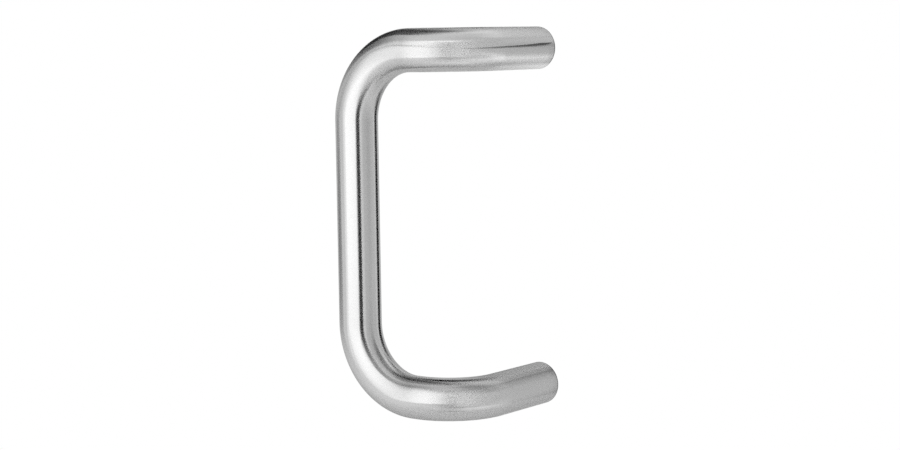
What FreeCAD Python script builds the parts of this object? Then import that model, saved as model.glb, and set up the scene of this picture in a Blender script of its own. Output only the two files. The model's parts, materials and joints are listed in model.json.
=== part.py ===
import FreeCAD, Part
import math
import os

from FreeCAD import Vector

# Offset door pull: one solid round bar, bent four times, with a tapped hole in each end.
# The door face is the plane y = 0 and the pull stands out of it towards -Y.
# The origin is on the door face, midway between the two bolt holes, with +Z up the grip.

# Driving dimensions of the bent bar, in millimetres. Bend radii are on the bar's centreline.
bar_diameter = 25.4
hole_spacing = 203.2
leg_length = 47.625
offset_bend_radius = 31.75
arm_length = 3.175
grip_bend_radius = 41.275
end_edge_round = 0.8

# Driving dimensions of the bolt holes, drilled to the tapping size of a 3/8 in coarse thread.
tap_drill_diameter = 7.9375
tap_drill_depth = 25.4
drill_point_angle = 118.0
countersink_diameter = 9.6
countersink_angle = 120.0
cutter_overshoot = 1.0

# Sizes that follow from those.
bar_radius = bar_diameter / 2
grip_length = hole_spacing - 2 * grip_bend_radius
grip_offset = offset_bend_radius + arm_length + grip_bend_radius
arm_standoff = leg_length + offset_bend_radius
projection = arm_standoff + bar_radius
clearance = arm_standoff - bar_radius

# Directions in the part's own frame.
off_the_door = Vector(0, -1, 0)
into_the_door = Vector(0, 1, 0)
to_the_grip = Vector(-1, 0, 0)
from_the_grip = Vector(1, 0, 0)
up = Vector(0, 0, 1)
down = Vector(0, 0, -1)

top_foot = up * (hole_spacing / 2)
bottom_foot = down * (hole_spacing / 2)


def straight_run(start, heading, length):
    """A straight stretch of centreline and the point where it ends."""
    end = start + heading * length
    return Part.LineSegment(start, end).toShape(), end


def quarter_bend(start, heading, towards, radius):
    """A 90 degree bend that turns from heading to towards, and the point where it ends."""
    centre = start + towards * radius
    middle = centre + (heading - towards) * (radius / math.sqrt(2))
    end = centre + heading * radius
    return Part.Arc(start, middle, end).toShape(), end


def centreline():
    """The bar's centreline from the top foot round to the bottom foot, as one tangent wire."""
    runs = [
        (off_the_door, leg_length, offset_bend_radius),
        (to_the_grip, arm_length, grip_bend_radius),
        (down, grip_length, grip_bend_radius),
        (from_the_grip, arm_length, offset_bend_radius),
        (into_the_door, leg_length, None),
    ]
    edges = []
    point = top_foot
    for index, (heading, length, bend_radius) in enumerate(runs):
        edge, point = straight_run(point, heading, length)
        edges.append(edge)
        if bend_radius is not None:
            next_heading = runs[index + 1][0]
            edge, point = quarter_bend(point, heading, next_heading, bend_radius)
            edges.append(edge)
    return Part.Wire(edges)


def bent_bar(path):
    """The round section swept along the centreline, with the edges of both end faces rounded."""
    section = Part.Face(Part.Wire(Part.makeCircle(bar_radius, top_foot, off_the_door)))
    bar = path.makePipe(section)
    end_edges = [edge for edge in bar.Edges if is_end_edge(edge)]
    return bar.makeFillet(end_edge_round, end_edges)


def is_end_edge(edge):
    """True for the circle round an end face, which lies on the door face."""
    on_door_face = abs(edge.BoundBox.YMax) < 1e-6 and abs(edge.BoundBox.YMin) < 1e-6
    return on_door_face and isinstance(edge.Curve, Part.Circle)


def bolt_hole_cutter(foot):
    """The drill and countersink at one foot: a half profile turned about the hole's axis."""
    drill_radius = tap_drill_diameter / 2
    countersink_slope = math.tan(math.radians(countersink_angle / 2))
    point_length = drill_radius / math.tan(math.radians(drill_point_angle / 2))
    mouth_radius = countersink_diameter / 2
    countersink_depth = (mouth_radius - drill_radius) / countersink_slope
    profile = [
        (0.0, -cutter_overshoot),
        (mouth_radius + cutter_overshoot * countersink_slope, -cutter_overshoot),
        (drill_radius, countersink_depth),
        (drill_radius, tap_drill_depth),
        (0.0, tap_drill_depth + point_length),
    ]
    corners = [foot + from_the_grip * radius + off_the_door * depth for radius, depth in profile]
    half_section = Part.Face(Part.makePolygon(corners + corners[:1]))
    return half_section.revolve(foot, off_the_door, 360)


def pull_bar():
    """The whole pull: the bent bar with both bolt holes drilled."""
    bar = bent_bar(centreline())
    for foot in (top_foot, bottom_foot):
        bar = bar.cut(bolt_hole_cutter(foot))
    return bar


os.makedirs("parts", exist_ok=True)
pull = pull_bar()
pull.exportStep("parts/pull_bar.step")
print(f"projection {projection:.2f}, clearance {clearance:.2f}, grip offset {grip_offset:.2f}")
print(f"bar length {centreline().Length:.1f}, volume {pull.Volume:.0f}, valid {pull.isValid()}")
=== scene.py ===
import json
import math
import bmesh
import bpy
from mathutils import Matrix, Vector


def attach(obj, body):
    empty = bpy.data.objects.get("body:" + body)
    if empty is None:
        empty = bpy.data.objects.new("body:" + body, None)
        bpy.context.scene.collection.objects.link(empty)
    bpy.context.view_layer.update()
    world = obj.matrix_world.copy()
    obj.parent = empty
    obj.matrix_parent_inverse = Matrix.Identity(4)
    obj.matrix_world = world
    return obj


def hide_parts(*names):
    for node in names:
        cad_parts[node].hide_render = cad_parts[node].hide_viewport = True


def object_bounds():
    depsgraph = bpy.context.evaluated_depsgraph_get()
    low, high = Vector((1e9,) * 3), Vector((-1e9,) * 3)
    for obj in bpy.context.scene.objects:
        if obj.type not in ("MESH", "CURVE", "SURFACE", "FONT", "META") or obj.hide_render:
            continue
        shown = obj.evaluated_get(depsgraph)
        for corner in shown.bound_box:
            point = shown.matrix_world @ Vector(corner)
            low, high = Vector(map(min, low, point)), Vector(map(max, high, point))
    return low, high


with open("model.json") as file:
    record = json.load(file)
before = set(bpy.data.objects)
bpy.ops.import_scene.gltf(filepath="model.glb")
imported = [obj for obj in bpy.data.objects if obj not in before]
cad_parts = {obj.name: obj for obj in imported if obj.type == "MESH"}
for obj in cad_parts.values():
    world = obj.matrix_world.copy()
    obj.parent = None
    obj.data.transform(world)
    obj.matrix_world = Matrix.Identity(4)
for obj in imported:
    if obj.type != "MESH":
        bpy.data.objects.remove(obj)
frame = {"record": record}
cadLow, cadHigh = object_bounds()
print("frame loaded, box", tuple(cadLow), tuple(cadHigh))

mounts = {mount["name"]: mount for mount in frame["record"]["mounts"]}
up = Vector((0, 0, 1))
offDoor = Vector((0, -1, 0))  # the feet stand on y = 0 and the pull comes out towards -Y
toGrip = Vector((-1, 0, 0))

# the bent bar: overall sizes come from the frame, bends and fineness are set here
pullBar = {
    "radius": cadHigh.x,
    "footHeight": mounts["mounting_holes"]["dims"]["spacing_y_mm"] / 2000,
    "gripBendRadius": 0.041275,
    "offsetBendRadius": 0.03175,
    "edgeRound": 0.0008,
    "edgeRoundSteps": 5,
    "around": 144,
    "stepsPerBend": 48,
    "stepsPerRun": 6,
    "creaseAngle": 32,
}

# the tapped holes: 3/8 in coarse thread in the drilled bore
boltHole = {
    "mouthRadius": 0.0048,
    "mouthDepth": 0.00048,
    "minorRadius": mounts["top_bolt_hole"]["dims"]["r_mm"] / 1000,
    "majorRadius": 0.0047625,
    "pitch": 0.0015875,
    "flankAngle": 30,
    "rootFlat": 0.0002,
    "threadDepth": 0.0195,
    "drillDepth": 0.0254,
    "pointAngle": 118,
    "stepsPerTurn": 48,
}
touching = 1e-6  # points nearer than this, in metres, are level or the same


def newestOf(made, kind):
    return [item for item in made["geom"] if isinstance(item, kind)]


def growRing(bm, ring):
    # one more ring of edges on the end of the bar, still lying on the old one
    made = bmesh.ops.extrude_edge_only(bm, edges=ring)
    verts = newestOf(made, bmesh.types.BMVert)
    fresh = set(verts)
    edges = [e for e in newestOf(made, bmesh.types.BMEdge) if fresh.issuperset(e.verts)]
    return verts, edges


def runStraight(bm, ring, heading, length, along):
    step = length / pullBar["stepsPerRun"]
    for _ in range(pullBar["stepsPerRun"]):
        verts, ring = growRing(bm, ring)
        bmesh.ops.translate(bm, vec=heading * step, verts=verts)
        for v in verts:
            v[along] += step
    return ring


def runBend(bm, ring, end, heading, towards, radius, along):
    # quarter bend about a pivot that stands one bend radius to the side
    turn = Matrix.Rotation(math.pi / 2 / pullBar["stepsPerBend"], 3, heading.cross(towards))
    step = radius * math.pi / 2 / pullBar["stepsPerBend"]
    for _ in range(pullBar["stepsPerBend"]):
        verts, ring = growRing(bm, ring)
        bmesh.ops.rotate(bm, cent=end + towards * radius, matrix=turn, verts=verts)
        for v in verts:
            v[along] += step
    return ring


def buildBar(bm):
    along = bm.verts.layers.float.new("along")
    around = bm.verts.layers.float.new("around")
    radius = pullBar["radius"]
    foot = up * pullBar["footHeight"]
    gripOffset = -cadLow.x - radius
    standoff = -cadLow.y - radius
    legRun = standoff - pullBar["offsetBendRadius"]
    armRun = gripOffset - pullBar["offsetBendRadius"] - pullBar["gripBendRadius"]
    gripRun = 2 * (pullBar["footHeight"] - pullBar["gripBendRadius"])

    place = Matrix.Translation(foot) @ Matrix.Rotation(math.pi / 2, 4, "X")
    circle = bmesh.ops.create_circle(bm, segments=pullBar["around"], radius=radius, matrix=place)["verts"]
    for index, v in enumerate(circle):
        v[around] = index / pullBar["around"]
    topRim = list({e for v in circle for e in v.link_edges})

    ring = topRim
    end = foot.copy()
    runs = [
        (offDoor, legRun, pullBar["offsetBendRadius"]),
        (toGrip, armRun, pullBar["gripBendRadius"]),
        (-up, gripRun, pullBar["gripBendRadius"]),
        (-toGrip, armRun, pullBar["offsetBendRadius"]),
        (-offDoor, legRun, 0),
    ]
    for index, (heading, length, bendRadius) in enumerate(runs):
        ring = runStraight(bm, ring, heading, length, along)
        end = end + heading * length
        if bendRadius:
            towards = runs[index + 1][0]
            ring = runBend(bm, ring, end, heading, towards, bendRadius, along)
            end = end + (heading + towards) * bendRadius
    return topRim, ring


def finishFoot(bm, rim, foot):
    # square-cut end with its edge broken, open at the countersink's mouth
    bmesh.ops.edgeloop_fill(bm, edges=rim)
    bmesh.ops.bevel(
        bm, geom=rim, offset=pullBar["edgeRound"], offset_type="OFFSET", affect="EDGES",
        segments=pullBar["edgeRoundSteps"], profile=0.5, material=-1,
    )
    atFoot = [f for f in bm.faces if (f.calc_center_median() - foot).length < pullBar["edgeRound"]]
    endFace = max(atFoot, key=lambda f: len(f.verts))
    for e in endFace.edges:
        e.smooth = False
    flat = pullBar["radius"] - pullBar["edgeRound"]
    rimWidth = flat - boltHole["mouthRadius"]
    bmesh.ops.inset_region(bm, faces=[endFace], thickness=rimWidth, use_even_offset=True)
    mouth = list(endFace.edges)
    bmesh.ops.delete(bm, geom=[endFace], context="FACES_ONLY")
    return mouth


def isLevel(edge, point):
    # true where the whole edge is as deep in its hole as the point is
    return all(abs((v.co - point).dot(offDoor)) < touching for v in edge.verts)


def buildThread(foot):
    # helical thread: one pitch of its profile screwed down the bore, then trimmed square at both ends
    bm = bmesh.new()
    inward = offDoor
    pitch = boltHole["pitch"]
    minor = boltHole["minorRadius"]
    major = boltHole["majorRadius"]
    flank = (major - minor) * math.tan(math.radians(boltHole["flankAngle"]))
    crest = pitch - boltHole["rootFlat"] - 2 * flank
    profile = [(0, minor), (crest, minor), (crest + flank, major), (pitch - flank, major), (pitch, minor)]
    first = boltHole["mouthDepth"] - 2 * pitch
    verts = [bm.verts.new(foot - toGrip * r + inward * (first + d)) for d, r in profile]
    edges = [bm.edges.new(pair) for pair in zip(verts, verts[1:])]
    turns = math.ceil((boltHole["threadDepth"] - first) / pitch) + 1
    steps = boltHole["stepsPerTurn"]
    bmesh.ops.spin(
        bm, geom=verts + edges, cent=foot, axis=inward, dvec=inward * (pitch / steps),
        angle=2 * math.pi * turns, steps=steps * turns,
    )
    bmesh.ops.remove_doubles(bm, verts=bm.verts, dist=touching)
    everything = bm.verts[:] + bm.edges[:] + bm.faces[:]
    mouthPlane = foot + inward * boltHole["mouthDepth"]
    bmesh.ops.bisect_plane(bm, geom=everything, plane_co=mouthPlane, plane_no=-inward, clear_outer=True)
    everything = bm.verts[:] + bm.edges[:] + bm.faces[:]
    lastPlane = foot + inward * boltHole["threadDepth"]
    bmesh.ops.bisect_plane(bm, geom=everything, plane_co=lastPlane, plane_no=inward, clear_outer=True)

    # below the thread: plain drilled bore and the drill's point
    place = Matrix.Translation(lastPlane + inward * pitch / 2) @ Matrix.Rotation(math.pi / 2, 4, "X")
    circle = bmesh.ops.create_circle(bm, segments=steps, radius=minor, matrix=place)["verts"]
    boreTop = list({e for v in circle for e in v.link_edges})
    lastLoop = [e for e in bm.edges if e.is_boundary and isLevel(e, lastPlane)]
    bmesh.ops.bridge_loops(bm, edges=lastLoop + boreTop)
    verts, ring = growRing(bm, boreTop)
    plainBore = boltHole["drillDepth"] - boltHole["threadDepth"] - pitch / 2
    bmesh.ops.translate(bm, verts=verts, vec=inward * plainBore)
    verts, ring = growRing(bm, ring)
    point = minor / math.tan(math.radians(boltHole["pointAngle"] / 2))
    bmesh.ops.pointmerge(bm, verts=verts, merge_co=foot + inward * (boltHole["drillDepth"] + point))
    thread = bpy.data.meshes.new("thread")
    bm.to_mesh(thread)
    bm.free()
    return thread


def addThread(bm, mouth, foot):
    thread = buildThread(foot)
    old = set(bm.edges)
    bm.from_mesh(thread)
    bpy.data.meshes.remove(thread)
    mouthPlane = foot + offDoor * boltHole["mouthDepth"]
    threadLoop = [e for e in bm.edges if e not in old and e.is_boundary and isLevel(e, mouthPlane)]
    bmesh.ops.bridge_loops(bm, edges=mouth + threadLoop)


def layUvs(bm):
    # u runs along the bar and v round it on the brushed skin; the cut ends are laid flat
    along = bm.verts.layers.float["along"]
    around = bm.verts.layers.float["around"]
    uv = bm.loops.layers.uv.new("brushing")
    holeReach = boltHole["drillDepth"] * 1.2  # past the drill's point
    core = pullBar["radius"] * 0.9  # wider than the hole, and inside the skin
    for face in bm.faces:
        centre = face.calc_center_median()
        atEnd = centre.y > -holeReach
        axisAway = Vector((centre.x, 0, abs(centre.z) - pullBar["footHeight"])).length
        faced = atEnd and axisAway < core
        cutEdge = not faced and centre.y > -pullBar["edgeRound"]
        skin = not (faced or cutEdge)
        if faced:
            face.material_index = 1
        elif cutEdge:
            # the broken edges at the cut ends take the painted dark shade
            face.material_index = 2
        for loop in face.loops:
            v = loop.vert
            if skin:
                turn = v[around]
                if turn < 0.25 and any(other[around] > 0.75 for other in face.verts):
                    turn += 1  # the last strip runs on past the seam
                loop[uv].uv = (v[along], turn)
            else:
                loop[uv].uv = (v.co.x, abs(v.co.z) - pullBar["footHeight"])


def makeBar():
    bm = bmesh.new()
    topRim, bottomRim = buildBar(bm)
    for rim, foot in ((topRim, up * pullBar["footHeight"]), (bottomRim, -up * pullBar["footHeight"])):
        mouth = finishFoot(bm, rim, foot)
        addThread(bm, mouth, foot)
    bmesh.ops.recalc_face_normals(bm, faces=bm.faces)
    for face in bm.faces:
        face.smooth = True
    for edge in bm.edges:
        if edge.calc_face_angle(0) > math.radians(pullBar["creaseAngle"]):
            edge.smooth = False
    layUvs(bm)
    openEdges = sum(1 for e in bm.edges if not e.is_manifold)
    mesh = bpy.data.meshes.new("bent_pull_bar")
    bm.to_mesh(mesh)
    bm.free()
    bar = bpy.data.objects.new("bent_pull_bar", mesh)
    bpy.context.scene.collection.objects.link(bar)
    print("bar built,", len(mesh.polygons), "faces,", openEdges, "open edges")
    return bar


# brushed finish: steel tone and how far the fine scratches spread a reflection along the bar
satinSteel = {
    "tone": (0.58, 0.58, 0.58),
    "edgeTint": 0.6,
    # painted shade: tone and reach of the dark rim painted at the cut ends, in place of a dark reflection
    "paintedRimShadeTone": (0.14, 0.14, 0.14),
    "paintedRimShadeReach": 0.0016,
    "roughness": 0.27,
    "stretch": 1.0,
    "roughnessSwing": 0.02,
    "coarseGrain": {"perMetre": 1300, "roundness": 8.0},
    "finerGrains": [
        {"perMetre": 2400, "roundness": 6.0, "share": 0.4},
        {"perMetre": 8000, "roundness": 3.2, "share": 0.25},
    ],
    "grainSpread": (0.36, 0.64),
    "grainContrast": 0.07,
    "scratches": {"perMetre": 3000, "roundness": 0.8},
    "scratchDepth": 0.000004,
}


def addNode(tree, kind, **settings):
    node = tree.nodes.new(kind)
    for name, value in settings.items():
        if name in node.inputs:
            node.inputs[name].default_value = value
        else:
            setattr(node, name, value)
    return node


def grainNoise(tree, coords, lines):
    # noise that is fine along the bar and long round it, with no seam where v wraps
    link = tree.links.new
    split = addNode(tree, "ShaderNodeSeparateXYZ")
    link(coords, split.inputs[0])
    lengthwise = addNode(tree, "ShaderNodeMath", operation="MULTIPLY")
    link(split.outputs["X"], lengthwise.inputs[0])
    lengthwise.inputs[1].default_value = lines["perMetre"]
    angle = addNode(tree, "ShaderNodeMath", operation="MULTIPLY")
    link(split.outputs["Y"], angle.inputs[0])
    angle.inputs[1].default_value = 2 * math.pi
    place = addNode(tree, "ShaderNodeCombineXYZ")
    link(lengthwise.outputs[0], place.inputs["X"])
    for operation, socket in (("COSINE", "Y"), ("SINE", "Z")):
        wave = addNode(tree, "ShaderNodeMath", operation=operation)
        link(angle.outputs[0], wave.inputs[0])
        reach = addNode(tree, "ShaderNodeMath", operation="MULTIPLY")
        link(wave.outputs[0], reach.inputs[0])
        reach.inputs[1].default_value = lines["roundness"]
        link(reach.outputs[0], place.inputs[socket])
    noise = addNode(tree, "ShaderNodeTexNoise", Scale=1.0, Detail=3.0, Roughness=0.6)
    link(place.outputs[0], noise.inputs["Vector"])
    return noise.outputs["Fac"]


def satinFinish():
    material = bpy.data.materials.new("satin_brushed_steel")
    material.use_nodes = True
    tree = material.node_tree
    link = tree.links.new
    shader = tree.nodes["Principled BSDF"]
    shader.inputs["Metallic"].default_value = 1
    shader.inputs["Anisotropic"].default_value = satinSteel["stretch"]
    coords = addNode(tree, "ShaderNodeUVMap", uv_map="brushing").outputs["UV"]
    tangent = addNode(tree, "ShaderNodeTangent", direction_type="UV_MAP", uv_map="brushing")
    link(tangent.outputs["Tangent"], shader.inputs["Tangent"])

    # three sizes of scratch, blended and spread out to the full range
    grain = grainNoise(tree, coords, satinSteel["coarseGrain"])
    for finer in satinSteel["finerGrains"]:
        blend = addNode(tree, "ShaderNodeMix", data_type="FLOAT")
        blend.inputs[0].default_value = finer["share"]
        link(grain, blend.inputs[2])
        link(grainNoise(tree, coords, finer), blend.inputs[3])
        grain = blend.outputs[0]
    spread = addNode(tree, "ShaderNodeMapRange")
    link(grain, spread.inputs["Value"])
    spread.inputs["From Min"].default_value = satinSteel["grainSpread"][0]
    spread.inputs["From Max"].default_value = satinSteel["grainSpread"][1]
    grain = spread.outputs[0]

    contrast = satinSteel["grainContrast"]
    tone = addNode(tree, "ShaderNodeMix", data_type="RGBA")
    link(grain, tone.inputs[0])
    tone.inputs[6].default_value = [c * (1 - contrast) for c in satinSteel["tone"]] + [1]
    tone.inputs[7].default_value = [c * (1 + contrast) for c in satinSteel["tone"]] + [1]

    # painted shade: a dark rim is painted on the steel next to the cut ends, where their edge was broken,
    # in place of a dark reflection
    spot = addNode(tree, "ShaderNodeTexCoord")
    split = addNode(tree, "ShaderNodeSeparateXYZ")
    link(spot.outputs["Object"], split.inputs[0])
    rimShadeMask = addNode(tree, "ShaderNodeMapRange")
    link(split.outputs["Y"], rimShadeMask.inputs["Value"])
    rimShadeMask.inputs["From Min"].default_value = -satinSteel["paintedRimShadeReach"]
    rimShadeMask.inputs["From Max"].default_value = -pullBar["edgeRound"]
    paintedRimShade = addNode(tree, "ShaderNodeMix", data_type="RGBA")
    link(rimShadeMask.outputs[0], paintedRimShade.inputs[0])
    link(tone.outputs[2], paintedRimShade.inputs[6])
    paintedRimShade.inputs[7].default_value = (*satinSteel["paintedRimShadeTone"], 1)
    link(paintedRimShade.outputs[2], shader.inputs["Base Color"])
    shader.inputs["Specular Tint"].default_value = [satinSteel["edgeTint"]] * 3 + [1]

    rough = addNode(tree, "ShaderNodeMapRange")
    link(grain, rough.inputs["Value"])
    rough.inputs["To Min"].default_value = satinSteel["roughness"] - satinSteel["roughnessSwing"]
    rough.inputs["To Max"].default_value = satinSteel["roughness"] + satinSteel["roughnessSwing"]
    link(rough.outputs[0], shader.inputs["Roughness"])

    # long shallow scratches round the bar
    scratches = grainNoise(tree, coords, satinSteel["scratches"])
    bump = addNode(tree, "ShaderNodeBump", Strength=1.0, Distance=satinSteel["scratchDepth"])
    link(scratches, bump.inputs["Height"])
    link(bump.outputs[0], shader.inputs["Normal"])
    return material


# faced ends, their edges and the bores: turned rings about the hole; the broken edges take a painted dark
# shade in place of a dark reflection
facedEnd = {
    "tone": (0.5, 0.5, 0.5),
    "ringContrast": 0.1,
    "roughness": 0.24,
    "ringsPerMetre": 5200,
    "ringDepth": 0.000006,
}


def facedFinish(name, steel):
    material = bpy.data.materials.new(name)
    material.use_nodes = True
    tree = material.node_tree
    link = tree.links.new
    shader = tree.nodes["Principled BSDF"]
    shader.inputs["Metallic"].default_value = 1
    coords = addNode(tree, "ShaderNodeUVMap", uv_map="brushing")
    reach = addNode(tree, "ShaderNodeVectorMath", operation="LENGTH")
    link(coords.outputs["UV"], reach.inputs[0])
    scaled = addNode(tree, "ShaderNodeMath", operation="MULTIPLY")
    link(reach.outputs["Value"], scaled.inputs[0])
    scaled.inputs[1].default_value = facedEnd["ringsPerMetre"]
    rings = addNode(tree, "ShaderNodeTexNoise", noise_dimensions="1D", Scale=1.0, Detail=2.0)
    link(scaled.outputs[0], rings.inputs["W"])
    contrast = facedEnd["ringContrast"]
    tone = addNode(tree, "ShaderNodeMix", data_type="RGBA")
    link(rings.outputs["Fac"], tone.inputs[0])
    tone.inputs[6].default_value = [c * (1 - contrast) for c in steel] + [1]
    tone.inputs[7].default_value = [c * (1 + contrast) for c in steel] + [1]
    link(tone.outputs[2], shader.inputs["Base Color"])
    shader.inputs["Roughness"].default_value = facedEnd["roughness"]
    bump = addNode(tree, "ShaderNodeBump", Strength=1.0, Distance=facedEnd["ringDepth"])
    link(rings.outputs["Fac"], bump.inputs["Height"])
    link(bump.outputs[0], shader.inputs["Normal"])
    return material


bar = makeBar()
bar.data.materials.append(satinFinish())
bar.data.materials.append(facedFinish("faced_end_steel", facedEnd["tone"]))
# the broken edges get the painted dark shade, standing in for a dark reflection at the rims
bar.data.materials.append(facedFinish("cut_edge_painted_shade", satinSteel["paintedRimShadeTone"]))
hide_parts("pull_bar")
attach(bar, "root")
print("finishes laid")

# the photograph's camera, in the pull's own frame
photoCamera = {
    "target": Vector((-0.0359, -0.04254, -0.00317)),
    "azimuth": 37.64,
    "elevation": 5.78,
    "roll": -0.85,
    "distance": 1.11707,
    "lens": 74.64,
    "sensor": 36,
}


def directionAt(azimuth, elevation):
    a = math.radians(azimuth)
    e = math.radians(elevation)
    return Vector((math.sin(a) * math.cos(e), -math.cos(a) * math.cos(e), math.sin(e)))


def placeCamera():
    back = directionAt(photoCamera["azimuth"], photoCamera["elevation"])
    right = up.cross(back).normalized()
    above = back.cross(right)
    roll = math.radians(photoCamera["roll"])
    rolledRight = right * math.cos(roll) + above * math.sin(roll)
    rolledUp = above * math.cos(roll) - right * math.sin(roll)
    data = bpy.data.cameras.new("photoCamera")
    data.sensor_width = photoCamera["sensor"]
    data.lens = photoCamera["lens"]
    data.clip_start = 0.01
    camera = bpy.data.objects.new("photoCamera", data)
    turn = Matrix((rolledRight, rolledUp, back)).transposed().to_4x4()
    stand = photoCamera["target"] + back * photoCamera["distance"]
    camera.matrix_world = Matrix.Translation(stand) @ turn
    bpy.context.scene.collection.objects.link(camera)
    bpy.context.scene.camera = camera


# studio: a light tent round the grip, of lamps that add to the white world and cards that stand before it
# turn is the angle from the camera, right positive, and a lean of 90 lies flat
studio = {
    "floorDrop": 0.43,
    "floorRadius": 1.1,
    "floorFade": (0.4, 1.078),
    "floorRoughness": 0.9,
    "floorTone": (0.9, 0.9, 0.9),
    "lamps": {
        "keyPanel": {
            "turn": -35, "distance": 0.40, "height": 0.15,
            "width": 0.45, "tall": 0.70, "glow": 0.9,
        },
        "tableBounce": {
            "turn": 15, "distance": 0.30, "height": -0.30,
            "width": 1.7, "tall": 0.5, "lean": -125, "glow": 0.3,
        },
        "leftGlow": {
            "turn": -70, "distance": 0.25, "height": 0.0,
            "width": 0.05, "tall": 1.0, "glow": 0.4,
        },
        "keyTail": {
            "turn": 10, "distance": 0.75, "height": 0.20,
            "width": 0.22, "tall": 1.35, "glow": 1.6,
        },
        "topWash": {
            "turn": 125, "distance": 0.40, "height": 0.50,
            "width": 0.8, "tall": 0.25, "lean": 65, "glow": 0.4,
        },
        "rightTable": {
            "turn": 125, "distance": 0.50, "height": -0.15,
            "width": 1.1, "tall": 0.8, "lean": -115, "glow": 1.0,
        },
    },
    "cards": {
        "cameraSlit": {
            "turn": 8, "distance": 0.30, "height": -0.10,
            "width": 0.10, "tall": 0.85, "glow": 0.0,
        },
        "keyLip": {
            "turn": -70, "distance": 0.12, "height": 0.155,
            "width": 0.65, "tall": 0.10, "lean": 105, "glow": 0.55,
        },
        "rightLip": {
            "turn": 65, "distance": 0.30, "height": 0.115,
            "width": 0.11, "tall": 0.40, "lean": 93, "glow": 0.15,
        },
        "rightFlag": {
            "turn": 125, "distance": 0.40, "height": -0.05,
            "width": 0.18, "tall": 0.45, "glow": 0.0,
        },
        "backStrip": {
            "turn": -135, "distance": 0.50, "height": 0.50,
            "width": 1.0, "tall": 0.50, "lean": -10, "glow": 0.0,
        },
        "leftSeam": {
            "turn": -120, "distance": 0.35, "height": -0.02,
            "width": 0.2, "tall": 0.25, "lean": -50, "glow": 0.3,
        },
        "backRight": {
            "turn": 180, "distance": 0.32, "height": 0.33,
            "width": 0.75, "tall": 0.35, "lean": 115, "glow": 0.0,
        },
        "topBackLeft": {
            "turn": -160, "distance": 0.32, "height": 0.335,
            "width": 0.22, "tall": 0.65, "lean": 75, "glow": 0.0,
        },
        "topFrontRight": {
            "turn": 65, "distance": 0.50, "height": 0.25,
            "width": 0.8, "tall": 1.5, "lean": 15, "glow": 0.75,
        },
    },
}


def standUp(spec, name, data):
    # a panel facing the grip; what it faces is on its -Z side
    grip = Vector((cadLow.x + pullBar["radius"], cadLow.y + pullBar["radius"], 0))
    away = directionAt(photoCamera["azimuth"] + spec["turn"], 0)
    panel = bpy.data.objects.new(name, data)
    turn = Matrix((up.cross(away), up, away)).transposed().to_4x4()
    lean = Matrix.Rotation(math.radians(-spec.get("lean", 0)), 4, "X")
    stand = grip + away * spec["distance"] + up * spec["height"]
    panel.matrix_world = Matrix.Translation(stand) @ turn @ lean
    panel.visible_camera = False
    bpy.context.scene.collection.objects.link(panel)
    return panel


def glowMaterial(name, glow):
    material = bpy.data.materials.new(name)
    material.use_nodes = True
    tree = material.node_tree
    tree.nodes.remove(tree.nodes["Principled BSDF"])
    emission = addNode(tree, "ShaderNodeEmission", Strength=glow)
    tree.links.new(emission.outputs[0], tree.nodes["Material Output"].inputs["Surface"])
    material.cycles.emission_sampling = "NONE"  # cards are only seen in reflections
    return material


def lightStudio():
    for name, spec in studio["lamps"].items():
        lamp = bpy.data.lights.new(name, "AREA")
        lamp.shape = "RECTANGLE"
        lamp.size = spec["width"]
        lamp.size_y = spec["tall"]
        lamp.energy = math.pi * spec["width"] * spec["tall"] * spec["glow"]
        standUp(spec, name, lamp)
    for name, card in studio["cards"].items():
        bm = bmesh.new()
        bmesh.ops.create_grid(bm, x_segments=1, y_segments=1, size=0.5)
        bmesh.ops.scale(bm, vec=(card["width"], card["tall"], 1), verts=bm.verts)
        mesh = bpy.data.meshes.new(name)
        bm.to_mesh(mesh)
        bm.free()
        mesh.materials.append(glowMaterial(name, card["glow"]))
        standUp(card, name, mesh)


def whiteWorld():
    world = bpy.data.worlds.new("whiteWorld")
    bpy.context.scene.world = world
    world.use_nodes = True
    light = world.node_tree.nodes["Background"]
    light.inputs["Color"].default_value = (1, 1, 1, 1)
    light.inputs["Strength"].default_value = 1


def layFloor():
    bm = bmesh.new()
    bmesh.ops.create_circle(bm, cap_ends=True, segments=96, radius=studio["floorRadius"])
    bmesh.ops.translate(bm, vec=(0, 0, cadLow.z - studio["floorDrop"]), verts=bm.verts)
    mesh = bpy.data.meshes.new("floor")
    bm.to_mesh(mesh)
    bm.free()
    material = bpy.data.materials.new("pale_floor")
    material.use_nodes = True
    tree = material.node_tree
    shader = tree.nodes["Principled BSDF"]
    shader.inputs["Base Color"].default_value = (*studio["floorTone"], 1)
    shader.inputs["Roughness"].default_value = studio["floorRoughness"]

    # the floor thins out towards its rim, so that it runs into the white world with no edge
    coords = addNode(tree, "ShaderNodeTexCoord")
    flat = addNode(tree, "ShaderNodeVectorMath", operation="MULTIPLY")
    flat.inputs[1].default_value = (1, 1, 0)
    tree.links.new(coords.outputs["Object"], flat.inputs[0])
    reach = addNode(tree, "ShaderNodeVectorMath", operation="LENGTH")
    tree.links.new(flat.outputs[0], reach.inputs[0])
    thin = addNode(tree, "ShaderNodeMapRange", interpolation_type="SMOOTHSTEP")
    tree.links.new(reach.outputs["Value"], thin.inputs["Value"])
    thin.inputs["From Min"].default_value = studio["floorFade"][0]
    thin.inputs["From Max"].default_value = studio["floorFade"][1]
    thin.inputs["To Min"].default_value = 1
    thin.inputs["To Max"].default_value = 0
    tree.links.new(thin.outputs[0], shader.inputs["Alpha"])
    mesh.materials.append(material)
    floor = bpy.data.objects.new("floor", mesh)
    bpy.context.scene.collection.objects.link(floor)


placeCamera()
whiteWorld()
layFloor()
lightStudio()
bpy.context.scene.view_settings.view_transform = "Standard"
print("studio lit")
